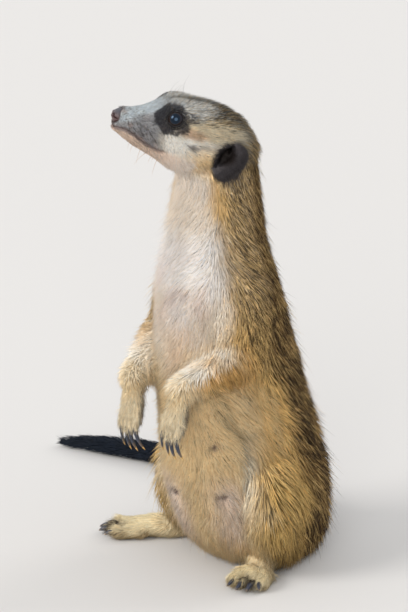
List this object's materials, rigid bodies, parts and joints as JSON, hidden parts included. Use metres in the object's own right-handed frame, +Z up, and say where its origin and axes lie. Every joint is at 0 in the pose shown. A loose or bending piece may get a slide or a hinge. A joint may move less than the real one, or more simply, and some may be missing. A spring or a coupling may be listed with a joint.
{
  "type": "meerkat figure",
  "caption": "Life-size still meerkat sitting upright on its haunches, head turned to its right, hands hanging before the chest, tail laid round on the floor.",
  "frame": {"origin": "on the floor under the pelvis, on the flat where the rump rests", "axes": "+Z up along the sitting body, +X to the animal's left, -Y to its front"},
  "size_m": [0.2334, 0.1432, 0.2416],
  "materials": {
    "head_coat": "short grizzled grey fur, white at the brow and cheek, blackish round the eye",
    "neck_coat": "short fur, ochre at the side, grizzled brown at the nape, pale at the throat",
    "trunk_coat": "tawny grizzled fur with dark bars across the back, silvery chest, thin buff belly",
    "limb_coat": "golden ochre fur, cream along the front of the arms",
    "paw_coat": "very short cream fur",
    "tail_coat": "short fur, tawny at the base and blackish towards the tip",
    "ear": "dark short velvet over thin skin",
    "nose_pad": "damp finely pebbled skin",
    "eye": "dark brown glass eye with a wet clear front",
    "claw": "blue-black horn, paler at the point"
  },
  "bodies": {
    "root": {"nose": "nose_pad", "eye_left": "eye", "eye_right": "eye", "head": "head_coat", "ear_left": "ear", "ear_right": "ear", "abdomen": "trunk_coat", "chest": "trunk_coat", "neck": "neck_coat", "foot_left": "paw_coat", "thigh_left": "limb_coat", "shank_left": "limb_coat", "hand_left": "paw_coat", "upper_arm_left": "limb_coat", "forearm_left": "limb_coat", "hand_claw_left_1": "claw", "hand_claw_left_2": "claw", "hand_claw_left_3": "claw", "hand_claw_left_4": "claw", "foot_claw_left_1": "claw", "foot_claw_left_2": "claw", "foot_claw_left_3": "claw", "foot_claw_left_4": "claw", "foot_right": "paw_coat", "thigh_right": "limb_coat", "shank_right": "limb_coat", "hand_right": "paw_coat", "upper_arm_right": "limb_coat", "forearm_right": "limb_coat", "hand_claw_right_1": "claw", "hand_claw_right_2": "claw", "hand_claw_right_3": "claw", "hand_claw_right_4": "claw", "foot_claw_right_1": "claw", "foot_claw_right_2": "claw", "foot_claw_right_3": "claw", "foot_claw_right_4": "claw", "tail_1": "tail_coat", "tail_2": "tail_coat", "tail_3": "tail_coat"}
  },
  "joints": []
}
